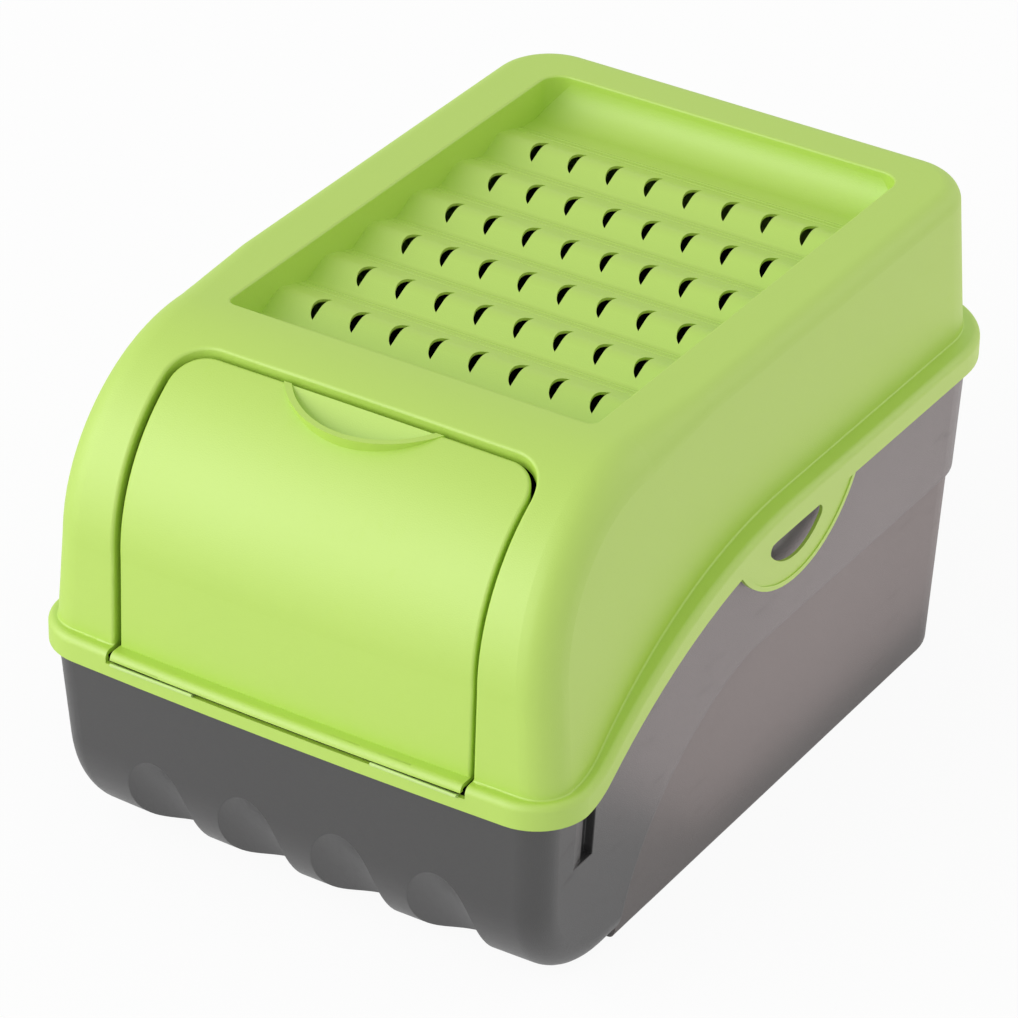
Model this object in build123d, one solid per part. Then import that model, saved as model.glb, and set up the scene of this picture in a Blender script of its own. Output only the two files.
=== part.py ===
from build123d import *
from math import acos, atan, cos, degrees, radians, sin, sqrt
import os

# Potato storage bin: an anthracite tub, a green lift-off hood with a sunk air-slot tray, and a curved
# front flap on two film hinges. Millimetres, +Z up, the front faces -Y, +X is the right-hand side seen
# from the front. The origin is the middle of the footprint box, on the surface the tub stands on.

# ---- driving dimensions ----------------------------------------------------------------------------
WIDTH = 238.0                 # over the hood's outer band
FRONT_Y = -172.5              # foremost point of the band
BACK_Y = 173.0                # rear face of the band
HEIGHT = 211.0                # flat top of the hood
BOW_RADIUS = 3078.0           # the front is very slightly rounded in plan
HOOD_WALL = 2.0
TUB_WALL = 2.2

# rim line: flat front, short hollow arc, long round arc, flat back
RIM_FRONT_Z = 88.0            # lower edge of the hood's band at the front
RIM_BACK_Z = 137.0            # the same edge at the back
RIM_LONG_RADIUS = 225.0
RIM_SHORT_RADIUS = 30.0
RIM_CREST_Y = 0.0             # where the long arc runs out into the flat back
BAND_HEIGHT = 10.5
BAND_WALL = 1.9
BAND_EDGE = 2.9               # rounded upper edge of the band
BAND_FRONT_CORNER = 22.6
BAND_BACK_CORNER = 39.0
SEAT_GAP = 0.4                # tub and hood meet only on small flat pads this high

# hood
HOOD_HALF_WIDTH = 113.9       # at the front ledge
HOOD_BACK_Y = 171.6           # back wall, drawn down to the level of the front ledge
HOOD_LEDGE_Z = 97.0
HOOD_SLOPE = 0.072            # walls lean in by this much per millimetre of height
HOOD_BACK_CORNER = 35.0
HOOD_EDGE = 8.0               # rounded edge between the walls and the top
NOSE_EDGE = 14.0              # rounded edge between the front curve and the side walls
NOSE_EDGE_END_Y = -88.2       # from here the larger radius runs down to the smaller one
HOOD_EDGE_START_Y = -46.0
NOSE_Y = -93.2                # axis of the curve from the front up into the top
NOSE_RADIUS = 73.0
FRONT_LEAN = 0.030
LEDGE_FILLET = 0.7

# sunk tray with ridges and air slots
TRAY_HALF_WIDTH = 81.3
TRAY_FRONT_Y = -89.2
TRAY_BACK_Y = 141.0
TRAY_FRONT_CORNER = 4.0
TRAY_BACK_CORNER = 9.0
TRAY_EDGE = 0.9
TRAY_FLOOR = 1.2              # the slotted floor is thinner than the hood's walls
TROUGH_Z = 195.3
CREST_RISE = 5.8              # height of a ridge before its crest is rounded
RIDGE_PITCH = 31.0
RIDGE_COUNT = 6
FIRST_TROUGH_Y = -66.0
TRAY_SWEEP = 13.0             # hollow sweep from the tray floor up into its back wall
TRAY_DIP = 1.0                # the floor drops this much towards the back wall
CREST_AFTER = 11.5            # from a trough back to the crest
RIDGE_LENGTH = 29.6           # from a trough back to the foot of the gentle side
RIDGE_ROUND = 9.0
GROOVE_AFTER = (22.6, 27.4)   # two fine grooves run along the gentle side
GROOVE_WIDTH = 1.1
GROOVE_DEPTH = 0.7
SLOTS_ACROSS = 8
SLOT_PITCH = 17.8
SLOT_LENGTH = 13.6            # half-moon slot: its straight side
SLOT_WIDTH = 3.7              # and how far its round side bulges
SLOT_AFTER = 10.2             # from a trough back to the middle of a slot

# ears on the band's lower edge
EAR_RADIUS = 52.0
EAR_LOW_Z = 112.5
EAR_HOLE_RADIUS = 25.5
EAR_HOLE_LOW_Z = 122.5
EAR_HOLE_TOP_Z = 135.8
EAR_WALL = 1.4
EAR_BEAD = 2.0

# flap
FLAP_HALF_WIDTH = 78.5
FLAP_TOP_Y = -117.2
FLAP_CORNER = 13.5
FLAP_GAP = 2.0
FLAP_SUNK = 1.4               # the flap lies this much behind the hood's surface
FLAP_EDGE = 1.3               # rolled edges of flap and opening
SKIRT = 5.0                   # depth of the turned-in edges of flap and opening
SKIRT_WALL = 1.6
HINGE_Y = -172.6
HINGE_Z = 94.5
HINGE_CLEAR = 0.95            # from the hinge axis to the sill below and the flap above
FILM_RADIUS = 0.6
FILM_INNER_X = 40.0
FILM_OUTER_X = 77.5
LIP_RADIUS = 43.0             # crescent finger lip
LIP_SAG = 17.3
LIP_WIDTH = 2.2
LIP_FLARE = 0.6
LIP_HEIGHT = 5.2
LIP_ROOT = 3.0
LIP_HOLLOW = 0.24             # fall of the finger hollow from its upper edge to the lip
LIP_CHORD_ANGLE = 69.9        # where the crescent's ends lie on the nose curve

# tub
TUB_HALF_WIDTH = 107.0        # at the floor, drawn without the side step
TUB_BACK_Y = 160.6
TUB_SLOPE = 0.051
TUB_BACK_CORNER = 26.0        # plan corner at the floor
TUB_FRONT_TOP_Y = -169.0      # front wall at the height of the band
TUB_FRONT_LEAN = 0.070
TUB_TOE_RADIUS = 50.0         # curve from the front wall down into the floor
TUB_FRONT_EDGE = 12.0         # rounded edge round the front wall and its toe
TUB_FLOOR_EDGE = 2.8          # smaller edge round the stepped-in panels
STEP_DEPTH = 2.0              # side and back panels lie this much further in
STEP_Z = 86.0
STEP_FOOT_Y = -104.0
STEP_TOP_Y = -20.0
SCOOP_RADIUS = 16.5
SCOOP_PITCH = 42.8
SCOOP_COUNT = 4
SCOOP_TOP = (-166.0, 51.0)    # deepest line of a scoop, upper end in (y, z)
SCOOP_FOOT = (-128.7, 0.0)    # and where it leaves through the floor
POCKET_REAR_Y = -129.7        # narrow pocket under the rim behind each front corner
POCKET_FRONT_Y = -145.0
POCKET_LOW_Z = 56.5
POCKET_DEPTH = 3.8
POCKET_STEP_Y = -135.5        # the shallow front part of the pocket ends here
POCKET_STEP_DEPTH = 1.6
RIM_LIP_WALL = 1.4
RIM_LIP_DROP = 1.0            # the rim's lip shows this much under the hood's band
RIM_GAP = 0.4                 # between the tub's rim lip and the inside of the band
RIM_TOP_WALL = 2.0
SILL_DROP = 4.5               # the rim is cut down this much along the front
SILL_BACK_Y = -157.0
PAD_LENGTH = 14.0
SIDE_PAD_X = 100.0            # the front pads lie beside the cut, from here outwards
SIDE_PAD_Y = -147.0
SIDE_PAD_LENGTH = 8.0
BACK_PAD_X = 45.0

FAR = 400.0                   # beyond everything
BOW_CENTRE_Y = FRONT_Y + BOW_RADIUS
BAND_HALF = WIDTH / 2
BAND_INSIDE = BAND_HEIGHT - HOOD_WALL


# ---- shared outlines -------------------------------------------------------------------------------
def across(face):
    """Extrude a face drawn in (y, z) to both sides of the middle."""
    return extrude(Plane.YZ * face, amount=FAR / 2, both=True)


def bowed(face):
    """Sweep a face drawn in (y, z) round the far centre of the front's slight curve."""
    axis = Axis((0, BOW_CENTRE_Y, 0), (0, 0, 1))
    wedge = revolve(Plane.YZ * face, axis=axis, revolution_arc=7.0)
    return wedge.rotate(axis, -3.5)


def plan(half_width, front_y, back_y, front_corner, back_corner):
    """Plan outline: bowed front, straight sides and back, rounded corners (0 leaves them sharp)."""
    bow = BOW_RADIUS - sqrt(BOW_RADIUS**2 - half_width**2)
    side_y = front_y + bow
    front = ThreePointArc((-half_width, side_y), (0, front_y), (half_width, side_y))
    right = Line((half_width, side_y), (half_width, back_y))
    back = Line((half_width, back_y), (-half_width, back_y))
    left = Line((-half_width, back_y), (-half_width, side_y))
    face = make_face([front, right, back, left])
    face = fillet(face.vertices().sort_by(Axis.Y)[2:], back_corner)
    if front_corner == 0:
        return face
    return fillet(face.vertices().sort_by(Axis.Y)[:2], front_corner)


def band_plan(inset):
    """The band's plan outline, drawn in by an inset."""
    front_corner = BAND_FRONT_CORNER - inset
    back_corner = BAND_BACK_CORNER - inset
    return plan(BAND_HALF - inset, FRONT_Y + inset, BACK_Y - inset, front_corner, back_corner)


def upright(face, low=-10.0, high=250.0):
    """Extrude a plan outline straight up."""
    return extrude(Pos(0, 0, low) * face, amount=high - low)


def rim_edges(rise):
    """The rim line in (y, z), lifted by a rise."""
    front_z = RIM_FRONT_Z + rise
    back_z = RIM_BACK_Z + rise
    reach = RIM_LONG_RADIUS + RIM_SHORT_RADIUS
    drop = reach - (RIM_BACK_Z - RIM_FRONT_Z)
    climb = degrees(acos(drop / reach))
    bend_y = RIM_CREST_Y - sqrt(reach**2 - drop**2)
    flat_front = Line((-FAR, front_z), (bend_y, front_z))
    hollow = CenterArc((bend_y, front_z + RIM_SHORT_RADIUS), RIM_SHORT_RADIUS, -90, climb)
    crest = CenterArc((RIM_CREST_Y, back_z - RIM_LONG_RADIUS), RIM_LONG_RADIUS, 90, climb)
    flat_back = Line((RIM_CREST_Y, back_z), (FAR, back_z))
    return [flat_front, hollow, crest, flat_back]


def below_rim(rise):
    """Everything under the rim line."""
    front = Line((-FAR, RIM_FRONT_Z + rise), (-FAR, -FAR))
    floor = Line((-FAR, -FAR), (FAR, -FAR))
    back = Line((FAR, -FAR), (FAR, RIM_BACK_Z + rise))
    return across(make_face(rim_edges(rise) + [front, floor, back]))


def rim_layer(low, high):
    """The layer between two copies of the rim line."""
    front = Line((-FAR, RIM_FRONT_Z + low), (-FAR, RIM_FRONT_Z + high))
    back = Line((FAR, RIM_BACK_Z + low), (FAR, RIM_BACK_Z + high))
    return across(make_face(rim_edges(low) + rim_edges(high) + [front, back]))


# ---- hood surfaces ---------------------------------------------------------------------------------
def nose_body(inset, low=60.0):
    """Everything behind the hood's front curve and under its flat top."""
    radius = NOSE_RADIUS - inset
    nose_z = HEIGHT - NOSE_RADIUS
    lean = degrees(atan(FRONT_LEAN))
    start = (NOSE_Y - radius * cos(radians(lean)), nose_z - radius * sin(radians(lean)))
    foot = (start[0] - (start[1] - low) * FRONT_LEAN, low)
    front = Line(foot, start)
    nose = CenterArc((NOSE_Y, nose_z), radius, 90, 90 + lean)
    top = Line((NOSE_Y, nose_z + radius), (FAR, nose_z + radius))
    back = Line((FAR, nose_z + radius), (FAR, low))
    floor = Line((FAR, low), foot)
    return bowed(make_face([front, nose, top, back, floor]))


def hood_section(inset, low, edge, y):
    """Cross-section of the hood at a distance along the bin, with both upper edges rounded."""
    low_half = HOOD_HALF_WIDTH + (HOOD_LEDGE_Z - low) * HOOD_SLOPE - inset
    top_z = HEIGHT - inset
    top_half = low_half - (top_z - low) * HOOD_SLOPE
    corners = [(-low_half, low), (low_half, low), (top_half, top_z), (-top_half, top_z)]
    face = make_face(Polyline(*corners, close=True))
    face = fillet(face.vertices().sort_by(Axis.Y)[2:], edge - inset)
    return Plane(origin=(0, y, 0), x_dir=(1, 0, 0), z_dir=(0, -1, 0)) * face


def hood_body(inset, low=82.0):
    """The hood as a solid, drawn in by an inset, with its long edges rounded."""
    spread = (HOOD_LEDGE_Z - low) * HOOD_SLOPE
    half_width = HOOD_HALF_WIDTH + spread - inset
    back_y = HOOD_BACK_Y + spread - inset
    outline = plan(half_width, FRONT_Y - 20, back_y, 0, HOOD_BACK_CORNER - inset)
    lean_in = degrees(atan(HOOD_SLOPE))
    walls = extrude(Pos(0, 0, low) * outline, amount=HEIGHT + 20 - low, taper=lean_in)
    block = walls & nose_body(inset, low - 10)
    front = (block & box_between((-FAR, -FAR, -FAR), (FAR, NOSE_EDGE_END_Y, FAR))).solid()
    front = fillet([edge for edge in front.edges() if is_nose_edge(edge, low)], NOSE_EDGE - inset)
    first = hood_section(inset, low, NOSE_EDGE, NOSE_EDGE_END_Y)
    last = hood_section(inset, low, HOOD_EDGE, HOOD_EDGE_START_Y)
    middle = loft([first, last], ruled=True)
    rear = (block & box_between((-FAR, HOOD_EDGE_START_Y, -FAR), (FAR, FAR, FAR))).solid()
    top = rear.faces().sort_by(Axis.Z)[-1]
    rounded = top.edges().filter_by(lambda edge: edge.center().Y > HOOD_EDGE_START_Y + 1)
    rear = fillet(rounded, HOOD_EDGE - inset)
    return front + middle + rear


def is_nose_edge(edge, low):
    """True for an edge between the hood's front curve and a side wall."""
    middle = edge @ 0.5
    along = edge % 0.5
    return middle.Z > low + 1 and middle.Y < NOSE_EDGE_END_Y - 1 and abs(along.X) < 0.5


def ridge_line(grow):
    """Top of the tray floor in (y, z): ridges with a short steep front and a long gentle back."""
    low_z = TROUGH_Z - grow * TRAY_FLOOR / HOOD_WALL
    points = [(TRAY_FRONT_Y - 30, low_z)]
    rounds = []
    for ridge in range(RIDGE_COUNT):
        trough_y = FIRST_TROUGH_Y + ridge * RIDGE_PITCH
        fall = CREST_RISE / (RIDGE_LENGTH - CREST_AFTER)
        points.append((trough_y, low_z))
        points.append((trough_y + CREST_AFTER, low_z + CREST_RISE))
        rounds += [RIDGE_ROUND / 3, RIDGE_ROUND]
        for after in GROOVE_AFTER if grow == 0 else ():
            groove_y = trough_y + after
            groove_z = low_z + (RIDGE_LENGTH - after) * fall
            points.append((groove_y, groove_z))
            points.append((groove_y + GROOVE_WIDTH / 3, groove_z - GROOVE_DEPTH))
            points.append((groove_y + GROOVE_WIDTH, groove_z - GROOVE_WIDTH * fall))
            rounds += [0.0] * 3
        points.append((trough_y + RIDGE_LENGTH, low_z))
        rounds.append(0.0)
    back_y = TRAY_BACK_Y + grow
    points.append((back_y, low_z - TRAY_DIP))
    points.append((back_y, HEIGHT + 30))
    rounds.append(TRAY_SWEEP + grow)
    return points, rounds


def above_ridges(grow):
    """Everything over the tray floor and in front of the sweep up its back wall."""
    points, rounds = ridge_line(grow)
    line = FilletPolyline(*points, radius=rounds)
    corner = (points[0][0], points[-1][1])
    up_front = Line(points[0], corner)
    over = Line(corner, points[-1])
    return across(make_face(line.edges() + [up_front, over]))


def tray(grow):
    """Space of the sunk tray, grown by a wall."""
    half_width = TRAY_HALF_WIDTH + grow
    length = TRAY_BACK_Y - TRAY_FRONT_Y + 2 * grow
    outline = Rectangle(2 * half_width, length)
    outline = fillet(outline.vertices().sort_by(Axis.Y)[2:], TRAY_BACK_CORNER + grow)
    outline = fillet(outline.vertices().sort_by(Axis.Y)[:2], TRAY_FRONT_CORNER + grow)
    middle_y = (TRAY_BACK_Y + TRAY_FRONT_Y) / 2
    return upright(Pos(0, middle_y) * outline, 150) & above_ridges(grow)


def slots():
    """Half-moon air slots, one row over the front of each ridge."""
    row_length = (RIDGE_COUNT - 1) * RIDGE_PITCH
    middle_y = FIRST_TROUGH_Y + SLOT_AFTER + row_length / 2
    grid = GridLocations(SLOT_PITCH, RIDGE_PITCH, SLOTS_ACROSS, RIDGE_COUNT)
    near = (SLOT_WIDTH / 2, -SLOT_LENGTH / 2)
    far = (SLOT_WIDTH / 2, SLOT_LENGTH / 2)
    moon = make_face([ThreePointArc(near, (-SLOT_WIDTH / 2, 0), far), Line(far, near)])
    slot = extrude(moon, amount=50)
    return [Pos(0, middle_y, 180) * place * slot for place in grid]


def flap_outline(grow):
    """The flap's outline seen from above, reaching far out in front."""
    half_width = FLAP_HALF_WIDTH + grow
    top_y = FLAP_TOP_Y + grow
    length = top_y + FAR / 2
    outline = RectangleRounded(2 * half_width, length, FLAP_CORNER + grow)
    return upright(Pos(0, top_y - length / 2) * outline, 60)


def box_between(low, high):
    """A box from its low corner to its high corner."""
    size = [high[axis] - low[axis] for axis in range(3)]
    middle = [(high[axis] + low[axis]) / 2 for axis in range(3)]
    return Pos(*middle) * Box(*size)


def band_body():
    """The hood's outer band and ledge as a solid with a rounded upper edge."""
    body = (upright(band_plan(0)) & rim_layer(0, BAND_HEIGHT)).solid()
    upper = [edge for edge in body.edges() if is_upper_band_edge(edge)]
    return fillet(upper, BAND_EDGE)


def is_upper_band_edge(edge):
    """True for an edge in the band's upper surface, apart from the lines across it."""
    return edge.center().Z > rim_height(edge.center().Y) + BAND_HEIGHT - 2 and not is_across(edge)


def is_across(edge):
    """True for a straight edge along X that crosses the whole band."""
    return abs((edge % 0.5).X) > 0.99 and abs(edge.center().Y) < BACK_Y - 20


def rim_height(y):
    """Height of the rim line at a point along the bin."""
    reach = RIM_LONG_RADIUS + RIM_SHORT_RADIUS
    drop = reach - (RIM_BACK_Z - RIM_FRONT_Z)
    bend_y = RIM_CREST_Y - sqrt(reach**2 - drop**2)
    joint_y = RIM_CREST_Y + (bend_y - RIM_CREST_Y) * RIM_LONG_RADIUS / reach
    if y <= bend_y:
        return RIM_FRONT_Z
    if y <= joint_y:
        return RIM_FRONT_Z + RIM_SHORT_RADIUS - sqrt(RIM_SHORT_RADIUS**2 - (y - bend_y)**2)
    if y <= RIM_CREST_Y:
        return RIM_BACK_Z - RIM_LONG_RADIUS + sqrt(RIM_LONG_RADIUS**2 - (y - RIM_CREST_Y)**2)
    return RIM_BACK_Z


def ear(side):
    """Half-moon ear with a finger hole and a beaded rim, on one side of the band."""
    centre_z = EAR_LOW_Z + EAR_RADIUS
    hole_z = EAR_HOLE_LOW_Z + EAR_HOLE_RADIUS
    disc = Pos(0, centre_z) * Circle(EAR_RADIUS)
    core = Pos(0, centre_z) * Circle(EAR_RADIUS - EAR_BEAD)
    hole = Pos(0, hole_z) * Circle(EAR_HOLE_RADIUS)
    hole = hole & Pos(0, EAR_HOLE_TOP_Z - FAR / 2) * Rectangle(FAR, FAR)
    hole = fillet(hole.vertices(), 3.0)
    inner_x = BAND_HALF - BAND_WALL
    plate = extrude(Plane.YZ * (disc - hole), amount=EAR_WALL)
    bead = extrude(Plane.YZ * (disc - core), amount=BAND_WALL)
    piece = Pos(inner_x, 0, 0) * (plate + bead) & below_rim(1.0)
    return piece if side > 0 else mirror(piece, about=Plane.YZ)


def hood():
    """Hood with ledge, band, ears, sunk tray and the framed front opening."""
    body = opened_body()
    walls = body & rim_layer(BAND_INSIDE, FAR)
    cavity = hood_body(HOOD_WALL, 70.0)
    rim_hollow = upright(band_plan(BAND_WALL)) & below_rim(BAND_INSIDE)
    shell = walls + (band_body() - rim_hollow)
    shell = fillet(ledge_edges(shell, walls), LEDGE_FILLET)
    shell -= cavity
    shell += tray(HOOD_WALL) & hood_body(0)
    shell -= tray(0)
    rim = shell.edges().filter_by_position(Axis.Z, HEIGHT - 0.01, HEIGHT + 0.01)
    shell = fillet(rim.filter_by(is_tray_edge), TRAY_EDGE)
    shell -= slots()
    frame = flap_outline(FLAP_GAP + SKIRT_WALL) - flap_outline(FLAP_GAP)
    frame = frame & (nose_body(0) - nose_body(SKIRT)) & rim_layer(BAND_INSIDE, FAR)
    shell += frame & body
    sill_z = HINGE_Z - HINGE_CLEAR
    opening = flap_outline(FLAP_GAP) & box_between((-FAR, -FAR, sill_z), (FAR, 0, FAR))
    shell -= opening
    shell += ear(1)
    shell += ear(-1)
    return shell


def opened_body():
    """Outer form of the hood with the flap's opening cut into its front and the edge rolled."""
    body = hood_body(0)
    body -= flap_outline(FLAP_GAP) & box_between((-FAR, -FAR, -FAR), (FAR, 0, FAR))
    return fillet([edge for edge in body.edges() if is_opening_edge(edge)], FLAP_EDGE)


def is_opening_edge(edge):
    """True for an edge where the flap's opening breaks through the hood's front curve."""
    middle = edge @ 0.5
    inside = abs(middle.X) < FLAP_HALF_WIDTH + FLAP_GAP + 0.1 and middle.Y < FLAP_TOP_Y + FLAP_GAP + 1
    return inside and abs(depth_behind_front(middle)) < 0.05


def depth_behind_front(point):
    """Distance of a point behind the hood's front curve."""
    profile_y = BOW_CENTRE_Y - sqrt(point.X**2 + (BOW_CENTRE_Y - point.Y)**2)
    lean = atan(FRONT_LEAN)
    start_z = HEIGHT - NOSE_RADIUS - NOSE_RADIUS * sin(lean)
    if point.Z > start_z:
        return NOSE_RADIUS - sqrt((NOSE_Y - profile_y)**2 + (point.Z - HEIGHT + NOSE_RADIUS)**2)
    return profile_y - (NOSE_Y - NOSE_RADIUS * cos(lean) - (start_z - point.Z) * FRONT_LEAN)


def is_tray_edge(edge):
    """True for an edge of the tray's mouth."""
    centre = edge.center()
    return abs(centre.X) < TRAY_HALF_WIDTH + 2 and TRAY_FRONT_Y - 2 < centre.Y < TRAY_BACK_Y + 2


def ledge_edges(shell, body):
    """Edges of the inside corner between the ledge and the hood's walls."""
    found = []
    for edge in shell.edges():
        middle = edge @ 0.5
        on_ledge = abs(middle.Z - rim_height(middle.Y) - BAND_HEIGHT) < 0.2
        if on_ledge and not is_across(edge) and Vertex(*middle).distance_to(body) < 0.02:
            found.append(edge)
    return found


def lip_seat():
    """Plane on the flap's surface through the crescent's two ends, with y running towards the front."""
    angle = radians(LIP_CHORD_ANGLE)
    radius = NOSE_RADIUS - FLAP_SUNK
    low = angle - LIP_SAG / radius
    chord = Vector(0, NOSE_Y - radius * cos(angle), HEIGHT - NOSE_RADIUS + radius * sin(angle))
    foot = Vector(0, NOSE_Y - radius * cos(low), HEIGHT - NOSE_RADIUS + radius * sin(low))
    down = (foot - chord).normalized()
    return Plane(origin=chord, x_dir=(-1, 0, 0), z_dir=Vector(-1, 0, 0).cross(down))


def finger_lip():
    """Crescent lip that stands up from the flap and runs out to nothing at both ends."""
    centre_y = LIP_SAG - LIP_RADIUS
    flare = Pos(0, centre_y, LIP_HEIGHT / 2) * Cone(LIP_RADIUS + LIP_FLARE, LIP_RADIUS, LIP_HEIGHT)
    root = Pos(0, centre_y, -LIP_ROOT / 2) * Cylinder(LIP_RADIUS + LIP_FLARE, LIP_ROOT)
    bore = Pos(0, centre_y) * Cylinder(LIP_RADIUS - LIP_WIDTH, 4 * LIP_HEIGHT)
    ring = flare + root - bore
    reach = 3 * LIP_SAG
    corners = [(0, -LIP_ROOT), (0, 0), (LIP_SAG, LIP_HEIGHT), (reach, LIP_HEIGHT), (reach, -LIP_ROOT)]
    wedge = Plane.YZ * make_face(Polyline(*corners, close=True))
    return lip_seat() * (ring & extrude(wedge, amount=LIP_RADIUS, both=True))


def finger_hollow(grow):
    """Space of the hollow behind the lip, falling from the flap's upper edge to the lip."""
    centre_y = LIP_SAG - LIP_RADIUS
    reach = 3 * LIP_SAG
    fall = LIP_HOLLOW * (reach + grow)
    low = -grow
    corners = [(low, low / 2), (reach, low - fall), (reach, reach), (low, reach)]
    wedge = Plane.YZ * make_face(Polyline(*corners, close=True))
    bore = Pos(0, centre_y) * Cylinder(LIP_RADIUS - LIP_WIDTH + grow, 4 * reach)
    return lip_seat() * (bore & extrude(wedge, amount=LIP_RADIUS, both=True))


def flap():
    """Flap with turned-in edges, finger lip and its own piece of the ledge at the foot."""
    outline = flap_outline(0)
    over_ledge = rim_layer(BAND_INSIDE, FAR)
    back = nose_body(FLAP_SUNK + HOOD_WALL)
    block = (nose_body(FLAP_SUNK) & outline).solid()
    rolled = [edge for edge in block.edges() if is_flap_edge(edge)]
    block = fillet(rolled, FLAP_EDGE)
    edges = outline - flap_outline(-SKIRT_WALL)
    wall = (block - back) & over_ledge
    skirt = (block - nose_body(FLAP_SUNK + SKIRT)) & edges & over_ledge
    rim_hollow = upright(band_plan(BAND_WALL)) & below_rim(BAND_INSIDE)
    above_hinge = box_between((-FAR, -FAR, HINGE_Z + HINGE_CLEAR), (FAR, 0, FAR))
    foot = (band_body() - rim_hollow) & outline & above_hinge
    foot = foot - back
    backing = (finger_hollow(HOOD_WALL) & block) - finger_hollow(0)
    return (wall + skirt + backing + foot - finger_hollow(0)) + (finger_lip() - back)


def is_flap_edge(edge):
    """True for an edge round the flap's outer surface."""
    middle = edge @ 0.5
    at_side = abs(middle.X) > FLAP_HALF_WIDTH - FLAP_CORNER
    at_top = middle.Y > FLAP_TOP_Y - 1
    return (at_side or at_top) and abs(depth_behind_front(middle) - FLAP_SUNK) < 0.05


def film(side):
    """Film hinge: a thin tongue on the sill with a rolled edge on the hinge axis."""
    sill_z = HINGE_Z - HINGE_CLEAR
    length = FILM_OUTER_X - FILM_INNER_X
    roll = Pos(HINGE_Y, HINGE_Z) * Circle(FILM_RADIUS)
    tongue_top = HINGE_Z - FILM_RADIUS + 0.1
    tongue_back = FRONT_Y + BAND_WALL
    size_y = tongue_back - HINGE_Y
    size_z = tongue_top - sill_z
    tongue = Pos(HINGE_Y + size_y / 2, sill_z + size_z / 2) * Rectangle(size_y, size_z)
    piece = Pos(FILM_INNER_X, 0, 0) * extrude(Plane.YZ * (roll + tongue), amount=length)
    return piece if side > 0 else mirror(piece, about=Plane.YZ)


# ---- tub -------------------------------------------------------------------------------------------
def toe_body(inset):
    """Everything behind the tub's front wall and the curve at its foot."""
    lean = atan(TUB_FRONT_LEAN)
    radius = TUB_TOE_RADIUS - inset
    rim_z = RIM_FRONT_Z
    centre_z = TUB_TOE_RADIUS
    start_z = centre_z - radius * sin(lean)
    tangent_outer_z = centre_z - TUB_TOE_RADIUS * sin(lean)
    outer_y = TUB_FRONT_TOP_Y + (rim_z - tangent_outer_z) * TUB_FRONT_LEAN
    centre_y = outer_y + TUB_TOE_RADIUS * cos(lean)
    start = (centre_y - radius * cos(lean), start_z)
    top = (start[0] - (200 - start_z) * TUB_FRONT_LEAN, 200)
    turn = 90 - degrees(lean)
    front = Line(top, start)
    toe = CenterArc((centre_y, centre_z), radius, 180 + degrees(lean), turn)
    floor = Line((centre_y, centre_z - radius), (FAR, centre_z - radius))
    back = Line((FAR, centre_z - radius), (FAR, 200))
    return bowed(make_face([front, toe, floor, back, Line((FAR, 200), top)]))


def tub_body(inset, floor_z, edge):
    """The tub as a solid without panels or scoops, drawn in by an inset and rounded round its foot."""
    low = floor_z - 5
    half_width = TUB_HALF_WIDTH + low * TUB_SLOPE - inset
    back_y = TUB_BACK_Y + low * TUB_SLOPE - inset
    outline = plan(half_width, FRONT_Y - 20, back_y, 0, TUB_BACK_CORNER - inset)
    lean_out = degrees(atan(TUB_SLOPE))
    walls = extrude(Pos(0, 0, low) * outline, amount=190 - low, taper=-lean_out)
    body = (walls & toe_body(floor_z)).solid()
    return fillet([line for line in body.edges() if is_foot_edge(line, floor_z)], edge - floor_z)


def is_foot_edge(edge, floor_z):
    """True for an edge round the tub's front wall, its toe or its floor."""
    middle = edge @ 0.5
    along = edge % 0.5
    at_back = middle.Y > TUB_BACK_Y - TUB_BACK_CORNER - 5
    if at_back:
        return middle.Z < floor_z + 0.1
    return middle.Z < 180 and abs(along.X) < 0.7


def panel_zone(grow):
    """Side view of the stepped-in panels, drawn in (y, z)."""
    foot = (STEP_FOOT_Y - grow, -FAR)
    start = (STEP_FOOT_Y - grow, 0)
    end = (STEP_TOP_Y - grow, STEP_Z + grow)
    bend_low = (STEP_FOOT_Y + 1 - grow, 30)
    bend_high = (STEP_FOOT_Y + 30 - grow, STEP_Z - 11 + grow)
    sweep = Bezier(start, bend_low, bend_high, end)
    level = Line(end, (FAR, STEP_Z + grow))
    back = Line((FAR, STEP_Z + grow), (FAR, -FAR))
    return across(make_face([Line(foot, start), sweep, level, back, Line((FAR, -FAR), foot)]))


def scoops(grow):
    """Round hollows across the curve at the tub's front foot."""
    rise_y = SCOOP_TOP[0] - SCOOP_FOOT[0]
    rise_z = SCOOP_TOP[1] - SCOOP_FOOT[1]
    length = sqrt(rise_y**2 + rise_z**2)
    out_y = -rise_z / length * SCOOP_RADIUS
    out_z = rise_y / length * SCOOP_RADIUS
    middle_y = (SCOOP_TOP[0] + SCOOP_FOOT[0]) / 2 + out_y
    middle_z = (SCOOP_TOP[1] + SCOOP_FOOT[1]) / 2 + out_z
    cutters = []
    for number in range(SCOOP_COUNT):
        x = (number - (SCOOP_COUNT - 1) / 2) * SCOOP_PITCH
        seat = Plane(origin=(x, middle_y, middle_z), x_dir=(1, 0, 0), z_dir=(0, rise_y, rise_z))
        cutters.append(seat * Cylinder(SCOOP_RADIUS + grow, 2 * length))
    return cutters


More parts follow.
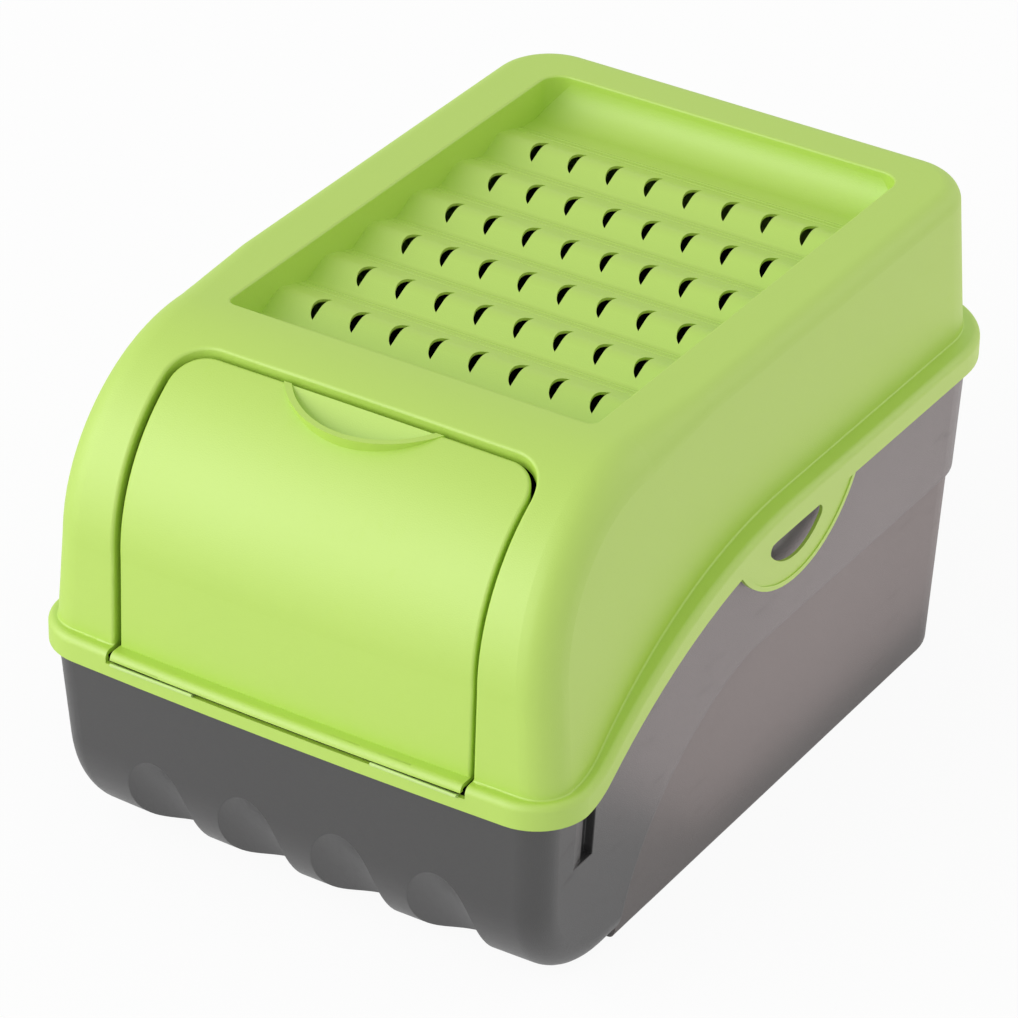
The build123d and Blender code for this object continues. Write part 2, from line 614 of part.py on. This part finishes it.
def pocket(side, grow):
    """Narrow pocket in two steps with a ramp towards the front, on one side wall."""
    wall_x = TUB_HALF_WIDTH + RIM_FRONT_Z * TUB_SLOPE
    outside = 6
    deep_rear = (-POCKET_DEPTH, POCKET_REAR_Y)
    deep_front = (-POCKET_DEPTH, POCKET_STEP_Y)
    step = (-POCKET_STEP_DEPTH, POCKET_STEP_Y)
    ramp = (0.4, POCKET_FRONT_Y)
    front = (outside, POCKET_FRONT_Y)
    rear = (outside, POCKET_REAR_Y)
    outline = make_face(Polyline(deep_rear, rear, front, ramp, step, deep_front, deep_rear))
    if grow > 0:
        outline = offset(outline, amount=grow, kind=Kind.INTERSECTION)
    drop = RIM_FRONT_Z - POCKET_LOW_Z + grow
    lean = Rot(0, degrees(atan(TUB_SLOPE)), 0)
    piece = Pos(wall_x, 0, RIM_FRONT_Z) * lean * Pos(0, 0, -drop) * extrude(outline, amount=RIM_BACK_Z)
    return piece if side > 0 else mirror(piece, about=Plane.YZ)


def tub_shape(inset):
    """The tub as a solid with panels, scoops and pockets, drawn in by an inset."""
    zone = panel_zone(inset)
    proud = tub_body(inset, inset, TUB_FRONT_EDGE) - zone
    sunk = tub_body(inset + STEP_DEPTH, inset, TUB_FLOOR_EDGE) & zone
    shape = proud + sunk
    shape -= scoops(inset)
    shape -= pocket(1, inset)
    shape -= pocket(-1, inset)
    return shape


def tub():
    """Tub with a folded rim that follows the hood's band."""
    rim_top = BAND_INSIDE - SEAT_GAP
    lip_inset = BAND_WALL + RIM_GAP
    inside = tub_shape(TUB_WALL)
    outside = tub_shape(0) & below_rim(rim_top)
    lip = upright(band_plan(lip_inset)) & rim_layer(-RIM_LIP_DROP, rim_top)
    lip_hollow = upright(band_plan(lip_inset + RIM_LIP_WALL)) & below_rim(rim_top - RIM_TOP_WALL)
    ring = lip - lip_hollow
    body = outside + ring
    sill_z = RIM_FRONT_Z + rim_top - SILL_DROP
    body -= box_between((-FAR, -FAR, sill_z), (FAR, SILL_BACK_Y, FAR))
    under_ledge = upright(band_plan(lip_inset + 0.3)) & rim_layer(rim_top - 0.5, BAND_INSIDE)
    for side in (-1, 1):
        body += under_ledge & side_pad(side)
        body += under_ledge & back_pad(side)
    return body - inside


def side_pad(side):
    """Column that cuts a front seat pad out of the layer under the ledge, on one side."""
    column = Box(FAR, SIDE_PAD_LENGTH, FAR)
    return Pos(side * (SIDE_PAD_X + FAR / 2), SIDE_PAD_Y, 0) * column


def back_pad(side):
    """Column that cuts a back seat pad out of the layer under the ledge, on one side."""
    column = Box(PAD_LENGTH, FAR, FAR)
    return Pos(side * BACK_PAD_X, 140 + FAR / 2, 0) * column


# ---- parts -----------------------------------------------------------------------------------------
PARTS = {
    "base_tub": tub(),
    "hood": hood(),
    "front_flap": flap(),
    "film_hinge_left": film(-1),
    "film_hinge_right": film(1),
}

os.makedirs("parts", exist_ok=True)
for name, solid in PARTS.items():
    export_step(solid, f"parts/{name}.step")
    box = solid.bounding_box()
    print(name, len(solid.solids()), round(solid.volume), box.min, box.max)
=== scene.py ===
# %% [markdown]
# # A potato storage bin
# The bin is a dark tub with a green hood that lifts off. A curved flap in the hood's front swings down on
# two film hinges, and air gets in through slots in a sunk tray on top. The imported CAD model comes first
# as a fixed frame, and everything after this is finish, light and camera.

# %% Load the frame
import bpy
from math import cos, radians, sin
from mathutils import Matrix, Vector

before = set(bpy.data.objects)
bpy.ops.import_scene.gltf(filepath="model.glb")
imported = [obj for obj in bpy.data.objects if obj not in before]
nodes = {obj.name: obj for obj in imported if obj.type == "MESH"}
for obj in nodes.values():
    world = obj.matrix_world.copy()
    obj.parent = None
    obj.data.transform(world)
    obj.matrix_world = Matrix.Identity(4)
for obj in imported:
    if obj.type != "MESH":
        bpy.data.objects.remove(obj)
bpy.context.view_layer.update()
scene = bpy.context.scene

# %% [markdown]
# ## A shorthand for shader maths
# Roughness and bump are built from noise, and noise is easiest to read as a formula. The class below wraps
# one socket. Adding or multiplying two of them lays down a Math node, so `1 - mask` works as written.

# %% Socket arithmetic
class Value:
    """A number that varies over a surface: one output socket with arithmetic."""

    def __init__(self, finish, socket):
        self.finish = finish
        self.socket = socket

    def math(self, operation, first, second=0.0, clamp=False):
        settings = {"operation": operation, "use_clamp": clamp}
        made = self.finish.add("ShaderNodeMath", settings, {0: first, 1: second})
        return Value(self.finish, made.outputs[0])

    def __add__(self, other):
        return self.math("ADD", self, other)

    def __radd__(self, other):
        return self.math("ADD", other, self)

    def __sub__(self, other):
        return self.math("SUBTRACT", self, other)

    def __rsub__(self, other):
        return self.math("SUBTRACT", other, self)

    def __mul__(self, other):
        return self.math("MULTIPLY", self, other)

    def __rmul__(self, other):
        return self.math("MULTIPLY", other, self)

    def clamped(self):
        return self.math("ADD", self, 0.0, clamp=True)

    def size(self):
        return self.math("ABSOLUTE", self)

    def root(self):
        return self.math("SQRT", self)

    def at_least(self, floor):
        return self.math("MAXIMUM", self, floor)

    def past(self, edge, width):
        """0 before the edge, 1 behind it, with a ramp of the given width between."""
        return ((self - edge) * (1.0 / width)).clamped()


# %% [markdown]
# ## One way to make a node
# A finish is a handful of nodes. This small class holds the node tree of a material or of the world, and
# makes any node from its type, its settings and what goes into its sockets. The settings go first, because
# some of them decide which sockets there are.

# %% A finish's tree
MIX_FACTOR, MIX_FIRST_COLOUR, MIX_SECOND_COLOUR, MIX_COLOUR_OUT = 0, 6, 7, 2


class Finish:
    """The nodes of a material or of the world, all made in one way."""

    def __init__(self, owner):
        owner.use_nodes = True
        self.owner = owner
        self.tree = owner.node_tree
        self.tree.nodes.clear()

    def add(self, kind, settings=None, sockets=None):
        """A new node with its settings made and its sockets fed."""
        node = self.tree.nodes.new(kind)
        for key, setting in (settings or {}).items():
            setattr(node, key, setting)
        for key, given in (sockets or {}).items():
            self.feed(node.inputs[key], given)
        return node

    def feed(self, socket, given):
        """Links an output to a socket, or sets the socket to a plain number or colour."""
        if isinstance(given, Value):
            given = given.socket
        if isinstance(given, bpy.types.NodeSocket):
            self.tree.links.new(given, socket)
        else:
            socket.default_value = given

    def noise(self, where, scale, detail):
        """A noise value at a place."""
        sockets = {"Vector": where, "Scale": scale, "Detail": detail}
        return Value(self, self.add("ShaderNodeTexNoise", {}, sockets).outputs[0])

    def place(self):
        """The point that is being coloured, in metres."""
        return self.add("ShaderNodeNewGeometry").outputs["Position"]

    def facing(self):
        """The direction that the face looks in."""
        return self.add("ShaderNodeNewGeometry").outputs["True Normal"]

    def axes(self, vector):
        """The x, y and z of a vector as three values."""
        split = self.add("ShaderNodeSeparateXYZ", {}, {0: vector})
        return [Value(self, output) for output in split.outputs]

    def mix_colour(self, factor, first, second):
        """The first colour where the factor is 0 and the second where it is 1."""
        settings = {"data_type": "RGBA", "clamp_factor": True}
        sockets = {MIX_FACTOR: factor, MIX_FIRST_COLOUR: first, MIX_SECOND_COLOUR: second}
        return self.add("ShaderNodeMix", settings, sockets).outputs[MIX_COLOUR_OUT]

    def close(self, shader):
        """Sends the shader to the material's output, and gives the finished material."""
        output = self.add("ShaderNodeOutputMaterial")
        self.tree.links.new(shader.outputs[0], output.inputs["Surface"])
        return self.owner


print("helpers ready")

# %% [markdown]
# ## Satin polypropylene
# Bins like this are moulded in a spark-eroded tool: the surface has a very fine even grain that makes it
# satin, slow waves where the thin wall shrank as it cooled, and fine scuffs from handling. Noise at several
# scales, measured in metres, gives those things. The colour hardly changes, the gloss a bit more.

# %% Moulded plastic
DRIFT_SCALE, GRAIN_SCALE, WAVE_SCALE, SCUFF_SCALE = 9.0, 2200.0, 14.0, 420.0
SCUFF_STRETCH = (1.0, 0.12, 0.5)
WAVE_HEIGHT, GRAIN_HEIGHT = 0.004, 0.0004
SCUFF_EDGE, SCUFF_STEEPNESS = 0.60, 6.0
WORN_EDGE, WORN_STEEPNESS = 0.42, 4.0
SHADE_EDGE, SHADE_BY_DRIFT, SHADE_BY_GRAIN = 0.35, 1.4, 0.35
GLOSS_BY_GRAIN, GLOSS_BY_DRIFT = 0.10, 0.08
BEVEL_SAMPLES = 6


def moulded(name, colour, deep, roughness, grain, wave, scuff, index=1.49, matt=None, soft_edge=0.0):
    """Satin moulded plastic: grain, slow shrink waves, light scuffs and a faint drift of colour."""
    finish = Finish(bpy.data.materials.new(name))
    where = finish.place()
    drift = finish.noise(where, DRIFT_SCALE, 3.0)
    speck = finish.noise(where, GRAIN_SCALE, 2.0)
    slow = finish.noise(where, WAVE_SCALE, 2.0)
    stretch = finish.add("ShaderNodeVectorMath", {"operation": "MULTIPLY"}, {0: where, 1: SCUFF_STRETCH})
    marks = finish.noise(stretch.outputs[0], SCUFF_SCALE, 4.0)
    scratched = ((marks - SCUFF_EDGE) * SCUFF_STEEPNESS).clamped()
    handled = ((drift - WORN_EDGE) * WORN_STEEPNESS).clamped()
    worn = scratched * handled
    shade = ((drift - SHADE_EDGE) * SHADE_BY_DRIFT + (speck - 0.5) * SHADE_BY_GRAIN).clamped()
    base = finish.mix_colour(shade, deep, colour)
    gloss = roughness + (speck - 0.5) * GLOSS_BY_GRAIN + (drift - 0.5) * GLOSS_BY_DRIFT + worn * scuff
    if matt:
        patch, patch_colour, patch_roughness = matt
        mask = patch(finish)
        base = finish.mix_colour(mask, base, patch_colour)
        gloss = gloss + mask * patch_roughness
    coarse_sockets = {"Strength": wave, "Distance": WAVE_HEIGHT, "Height": slow}
    if soft_edge:
        rounded = finish.add("ShaderNodeBevel", {"samples": BEVEL_SAMPLES}, {"Radius": soft_edge})
        coarse_sockets["Normal"] = rounded.outputs[0]
    coarse = finish.add("ShaderNodeBump", {}, coarse_sockets)
    fine_sockets = {"Strength": grain, "Distance": GRAIN_HEIGHT, "Height": speck, "Normal": coarse.outputs[0]}
    fine = finish.add("ShaderNodeBump", {}, fine_sockets)
    shader = finish.add("ShaderNodeBsdfPrincipled", {}, {
        "Base Color": base, "Roughness": gloss.clamped(), "Normal": fine.outputs[0], "IOR": index,
    })
    return finish.close(shader)


# %% [markdown]
# ## The tub's sunk panels
# The side and back panels lie two millimetres further in, and are paler and more matt than the band
# round them. How deep a point lies inside the tub's outer form tells them apart: the form is a rectangle
# with round corners that widens a little with height. The wall's inner side, which faces the middle,
# is left out.

# %% Where the panels are
FOOT_HALF_WIDTH, FOOT_BACK_Y, WALL_SLOPE, CORNER = 0.1070, 0.1606, 0.051, 0.026
PANEL_FRONT_Y, PANEL_TOP_Z = -0.1045, 0.0868
LEAST_DEPTH, MOST_DEPTH = 0.0014, 0.0030
DEPTH_RAMP, EDGE_RAMP, FACING_RAMP = 0.0004, 0.0002, 0.001


def sunk_panels(finish):
    """1 on the stepped-in panels of the tub and 0 elsewhere."""
    x, y, z = finish.axes(finish.place())
    facing_x, facing_y = finish.axes(finish.facing())[:2]
    over_x = (x.size() - (FOOT_HALF_WIDTH - CORNER + z * WALL_SLOPE)).at_least(0.0)
    over_y = (y - (FOOT_BACK_Y - CORNER + z * WALL_SLOPE)).at_least(0.0)
    depth = CORNER - (over_x * over_x + over_y * over_y).root()
    in_step = depth.past(LEAST_DEPTH, DEPTH_RAMP) * (1.0 - depth.past(MOST_DEPTH, DEPTH_RAMP))
    outside = (x * facing_x + y * facing_y).past(0.0, FACING_RAMP)
    behind_front = y.past(PANEL_FRONT_Y, EDGE_RAMP)
    return in_step * outside * behind_front * (1.0 - z.past(PANEL_TOP_Z, EDGE_RAMP))


# %% [markdown]
# ## The three finishes
# The colours are plain: a fresh green, a near-black with a warmer grey on the sunk panels and, where the
# film hinges have been bent, the whitish green of stressed plastic.

# %% Finishes
GREEN = (0.470, 0.705, 0.056, 1.0)
GREEN_DEEP = (0.440, 0.680, 0.042, 1.0)
DARK = (0.040, 0.039, 0.040, 1.0)
DARK_DEEP = (0.031, 0.030, 0.031, 1.0)
PANEL = (0.100, 0.084, 0.081, 1.0)
PALE = (0.640, 0.830, 0.330, 1.0)
PALE_DEEP = (0.570, 0.790, 0.240, 1.0)

green = moulded(
    "green_polypropylene", GREEN, GREEN_DEEP,
    roughness=0.58, grain=0.20, wave=0.05, scuff=0.08, index=2.30,
)
dark = moulded(
    "anthracite_polypropylene", DARK, DARK_DEEP,
    roughness=0.38, grain=0.35, wave=0.05, scuff=0.10, index=1.72,
    matt=(sunk_panels, PANEL, 0.10), soft_edge=0.0008,
)
pale = moulded("stressed_film", PALE, PALE_DEEP, roughness=0.38, grain=0.12, wave=0.03, scuff=0.05)

finishes = {
    "base_tub": dark,
    "hood": green,
    "front_flap": green,
    "film_hinge_left": pale,
    "film_hinge_right": pale,
}
for name, material in finishes.items():
    mesh = nodes[name].data
    mesh.materials.clear()
    mesh.materials.append(material)
    print(name, len(mesh.polygons), "faces", material.name)

# %% [markdown]
# ## Floor and backdrop
# The bin stands on a wide white sheet. To the camera, and in gloss, the sheet is mostly a plain white of
# strength 1, with a share of real diffuse white left in so that it keeps the shadow under the bin.

# %% White sheet
SEEN_WHITE, GLOSS_WHITE = 0.93, 0.75
PAPER_DARK, PAPER_LIGHT = (0.90, 0.90, 0.90, 1.0), (0.93, 0.93, 0.93, 1.0)
SHEET_HALF = 6.0
SHEET_Z = -0.0002


def white_sheet():
    """A floor that looks plain white and still takes a soft shadow."""
    finish = Finish(bpy.data.materials.new("white_sheet"))
    path = finish.add("ShaderNodeLightPath")
    seen = Value(finish, path.outputs["Is Camera Ray"])
    glossy = Value(finish, path.outputs["Is Glossy Ray"])
    clear = Value(finish, path.outputs["Is Transmission Ray"])
    plain = seen * SEEN_WHITE + (glossy + clear).clamped() * GLOSS_WHITE
    mottle = finish.noise(finish.place(), 30.0, 3.0)
    paper = finish.mix_colour(mottle, PAPER_DARK, PAPER_LIGHT)
    diffuse = finish.add("ShaderNodeBsdfDiffuse", {}, {"Color": paper, "Roughness": 0.9})
    glow = finish.add("ShaderNodeEmission", {}, {"Color": (1.0, 1.0, 1.0, 1.0), "Strength": 1.0})
    mixed = finish.add("ShaderNodeMixShader", {}, {0: plain, 1: diffuse.outputs[0], 2: glow.outputs[0]})
    return finish.close(mixed)


sheet_mesh = bpy.data.meshes.new("floor_sheet")
signs = [(-1, -1), (1, -1), (1, 1), (-1, 1)]
corners = [(x * SHEET_HALF, y * SHEET_HALF, SHEET_Z) for x, y in signs]
sheet_mesh.from_pydata(corners, [], [(0, 1, 2, 3)])
sheet_mesh.materials.append(white_sheet())
sheet = bpy.data.objects.new("floor_sheet", sheet_mesh)
scene.collection.objects.link(sheet)
print("sheet", round(2 * SHEET_HALF, 1), "m wide")

# %% [markdown]
# ## Room light
# A white room gives most of the light. To the camera and to gloss the world is exactly 1, so that the
# background is white and the satin plastic mirrors it. Its diffuse light is dimmer, which leaves room
# for the lamps to shape the bin.

# %% World
AMBIENT = 0.61
world = bpy.data.worlds.new("white_room")
scene.world = world
room = Finish(world)
path = room.add("ShaderNodeLightPath")
looked_at = Value(room, path.outputs["Is Camera Ray"]) + Value(room, path.outputs["Is Transmission Ray"])
looked_at = (looked_at + Value(room, path.outputs["Is Glossy Ray"])).clamped()
level = AMBIENT + looked_at * (1.0 - AMBIENT)
backdrop = room.add("ShaderNodeBackground", {}, {"Color": (1.0, 1.0, 1.0, 1.0), "Strength": level})
room.add("ShaderNodeOutputWorld", {}, {"Surface": backdrop.outputs[0]})
print("ambient", AMBIENT)

# %% [markdown]
# ## Lamps
# One big soft box, the key, stands low in front and to the left, so that the curved front is its brightest
# part. A weak one behind on the right draws the pale edges along the hood's side. A dim card lies on the
# floor beside the back of the bin and shows only in gloss: it brightens the tub's side towards the rear.

# %% Soft boxes
def soft_box(name, place, aim, width, height, watts, colour=(1.0, 1.0, 1.0)):
    """A rectangular area lamp that looks at a point."""
    lamp = bpy.data.lights.new(name, "AREA")
    lamp.shape = "RECTANGLE"
    lamp.size = width
    lamp.size_y = height
    lamp.energy = watts
    lamp.color = colour
    holder = bpy.data.objects.new(name, lamp)
    holder.location = place
    holder.rotation_euler = (Vector(aim) - Vector(place)).to_track_quat("-Z", "Y").to_euler()
    scene.collection.objects.link(holder)
    print(name, watts, "W at", tuple(round(v, 2) for v in place))
    return holder


WARM = (1.0, 0.88, 0.84)
PINK = (1.0, 0.80, 0.79)
soft_box("key_box", (-1.5, -2.0, 1.10), (0.0, 0.0, 0.12), 3.2, 2.2, 44.0)
soft_box("rim_box", (1.0, 1.5, 0.9), (0.0, 0.10, 0.12), 1.0, 1.0, 3.0, WARM)
card = soft_box("gloss_card", (0.220, 0.42, 0.004), (0.220, 0.42, 1.0), 0.20, 0.90, 0.55, PINK)
card.visible_diffuse = False
card.visible_camera = False

# %% [markdown]
# ## Camera
# A long lens from the front, right and above. The direction is written as azimuth, elevation and roll,
# and the three axes of the camera follow from them.

# %% Camera
AZIMUTH, ELEVATION, ROLL = radians(32.091), radians(31.609), radians(1.015)
LENS_MM, SENSOR_MM = 184.0, 36.0
DISTANCE, RIGHT_SHIFT, UP_SHIFT = 2.03966, -0.00868, 0.00153
AIM = Vector((0.0, 0.0, 0.100))

back = Vector((sin(AZIMUTH) * cos(ELEVATION), -cos(AZIMUTH) * cos(ELEVATION), sin(ELEVATION)))
level_right = Vector((cos(AZIMUTH), sin(AZIMUTH), 0.0))
level_up = back.cross(level_right)
right = cos(ROLL) * level_right + sin(ROLL) * level_up
up = cos(ROLL) * level_up - sin(ROLL) * level_right
place = AIM + RIGHT_SHIFT * right + UP_SHIFT * up + DISTANCE * back

camera_data = bpy.data.cameras.new("camera")
camera_data.lens = LENS_MM
camera_data.sensor_width = SENSOR_MM
camera_data.sensor_fit = "HORIZONTAL"
camera_data.clip_end = 100.0
camera = bpy.data.objects.new("camera", camera_data)
turn = Matrix((right, up, back)).transposed().to_4x4()
camera.matrix_world = Matrix.Translation(place) @ turn
scene.collection.objects.link(camera)
scene.camera = camera
scene.view_settings.view_transform = "Standard"
print("camera at", tuple(round(v, 4) for v in place))
